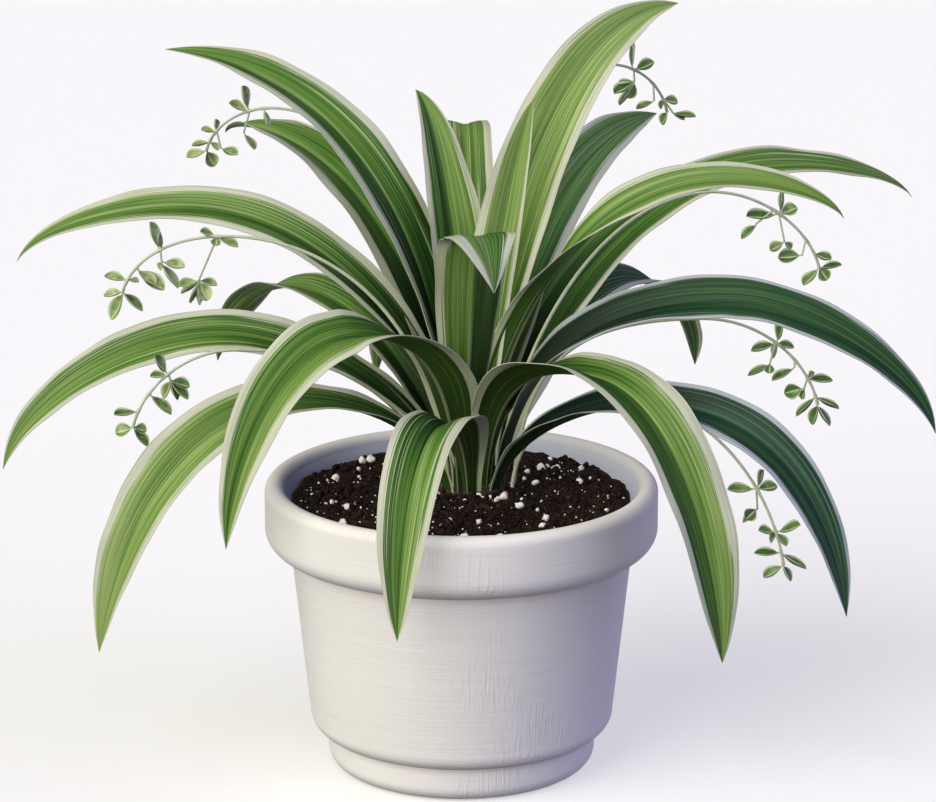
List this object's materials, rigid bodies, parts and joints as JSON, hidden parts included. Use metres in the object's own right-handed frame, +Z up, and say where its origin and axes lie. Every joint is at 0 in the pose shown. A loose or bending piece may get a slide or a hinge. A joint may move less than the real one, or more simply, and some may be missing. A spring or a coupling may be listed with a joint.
{
  "type": "potted spider plant",
  "caption": "Spider plant with arching cream-edged leaves and thin runners that carry small leafy sprigs, in soil in a stepped round pot.",
  "frame": {"origin": "centre of the flat foot of the pot, on the surface that it stands on", "axes": "+Z up, +X to the right of the pictured front, and -Y towards the front"},
  "size_m": [0.3521, 0.2235, 0.2843],
  "materials": {
    "pot": "matte warm off-white",
    "soil": "crumbly potting soil with white perlite",
    "crown": "pale green leaf bases",
    "leaf": "satin green blade with cream edges",
    "runner": "satin pale green stem and leaflets"
  },
  "bodies": {
    "root": {"pot": "pot", "soil": "soil", "crown": "crown", "leaf_upper_left": "leaf", "leaf_back_left_fold": "leaf", "leaf_left_upper": "leaf", "leaf_left_back_fold": "leaf", "leaf_left_middle": "leaf", "leaf_left_front_arch": "leaf", "leaf_left_low": "leaf", "leaf_front_arch": "leaf", "leaf_centre_fold": "leaf", "leaf_spike": "leaf", "leaf_back_fold": "leaf", "leaf_upper_right": "leaf", "leaf_upper_right_near": "leaf", "leaf_right_back": "leaf", "leaf_right_crest": "leaf", "leaf_right_upper": "leaf", "leaf_right_back_fold": "leaf", "leaf_right_middle": "leaf", "leaf_right_front_arch": "leaf", "leaf_right_low": "leaf", "leaf_rear_right": "leaf", "leaf_rear": "leaf", "leaf_rear_left": "leaf", "runner_upper_left": "runner", "runner_left": "runner", "runner_left_low": "runner", "runner_upper_right": "runner", "runner_right": "runner", "runner_right_middle": "runner", "runner_right_low": "runner"}
  },
  "joints": []
}
